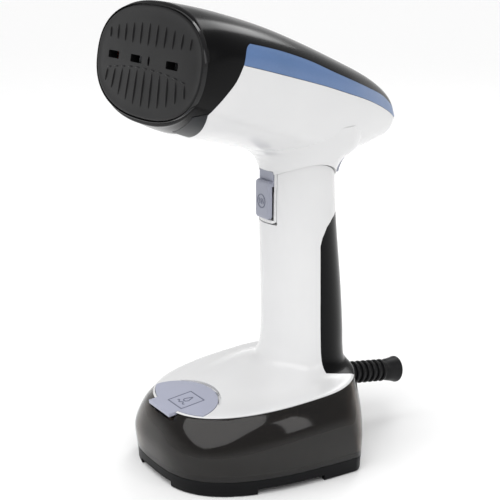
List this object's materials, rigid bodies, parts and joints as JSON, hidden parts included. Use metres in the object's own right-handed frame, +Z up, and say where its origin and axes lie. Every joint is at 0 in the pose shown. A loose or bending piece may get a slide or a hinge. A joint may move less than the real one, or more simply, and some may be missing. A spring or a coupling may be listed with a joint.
{
  "type": "garment steamer",
  "caption": "Handheld garment steamer standing on its water tank, with an oval steam plate, front trigger and a head that folds back over the handle.",
  "frame": {"origin": "centre of the whole part's footprint box, on the surface it stands on", "axes": "+Z up along the handle, -Y towards the clothes, +X to the side"},
  "size_m": [0.1146, 0.173, 0.2558],
  "materials": {
    "white_gloss": "glossy",
    "black_gloss": "glossy",
    "black_satin": "satin",
    "smoke_tank": "clear, glossy",
    "lavender_flap": "satin",
    "lavender_trigger": "satin",
    "blue_stripe": "satin",
    "plate_coating": "satin",
    "bezel_gloss": "glossy",
    "guard_rubber": "matte",
    "foot_rubber": "matte",
    "red_silicone": "matte",
    "grey_silicone": "matte",
    "clear_silicone": "smooth",
    "grey_nylon": "matte",
    "pump_housing": "satin",
    "steel": "machined",
    "brass": "machined",
    "cast_aluminium": "as cast",
    "element_sheath": "heat tinted",
    "green_board": "satin",
    "cream_plastic": "matte",
    "switch_black": "matte",
    "filter_mesh": "matte"
  },
  "bodies": {
    "stand": {"base_plate": "black_satin", "rubber_feet": "foot_rubber", "base_screws": "steel", "water_tank": "smoke_tank", "tank_cover": "grey_nylon", "tank_seal": "grey_silicone", "handle_shell": "white_gloss", "rear_cover": "black_gloss", "flap_pin": "steel", "filler_gasket": "grey_silicone", "cord_guard": "guard_rubber", "cord_clamp": "grey_nylon", "terminal_block": "cream_plastic", "water_pump": "pump_housing", "pump_cradle": "grey_nylon", "suction_hose": "clear_silicone", "water_filter": "filter_mesh", "delivery_hose": "clear_silicone", "swivel_elbow": "grey_nylon", "control_board": "green_board", "hinge_bushes": "brass"},
    "head": {"hinge_pin": "steel", "fold_knuckle": "cast_aluminium", "knuckle_screws": "steel", "head_shell": "white_gloss", "stripe_left": "blue_stripe", "stripe_right": "blue_stripe", "top_cover": "black_gloss", "front_bezel": "bezel_gloss", "steam_plate": "plate_coating", "plate_seal": "red_silicone", "steam_chamber": "cast_aluminium", "chamber_lid": "cast_aluminium", "heating_element": "element_sheath", "chamber_screws": "steel", "thermostat": "cream_plastic", "thermal_fuse": "cream_plastic", "head_hose": "clear_silicone", "trigger_pin": "steel", "trigger_spring": "steel", "switch_bracket": "grey_nylon", "microswitch": "switch_black", "release_guide": "grey_nylon", "release_spring": "steel"},
    "trigger_lever": {"trigger": "lavender_trigger"},
    "release": {"release_button": "lavender_trigger", "release_bolt": "steel"},
    "flap": {"filler_flap": "lavender_flap"}
  },
  "joints": [
    {"name": "head_fold", "type": "hinge", "parent": "stand", "child": "head", "pos_m": [0, 0.0086, 0.14], "axis": [-1, 0, 0], "range_deg": [0, 56]},
    {"name": "trigger_press", "type": "hinge", "parent": "head", "child": "trigger_lever", "pos_m": [0, -0.0069, 0.1608], "axis": [1, 0, 0], "range_deg": [0, 4], "stiffness_Nm_per_rad": 0.5, "springref_deg": -4.58},
    {"name": "release_press", "type": "slide", "parent": "head", "child": "release", "axis": [0, -1, 0], "range_m": [0, 0.002], "stiffness_N_per_m": 500, "springref_m": -0.002},
    {"name": "flap_open", "type": "hinge", "parent": "stand", "child": "flap", "pos_m": [0, -0.04652, 0.04283], "axis": [-1, 0, 0], "range_deg": [0, 70]}
  ]
}
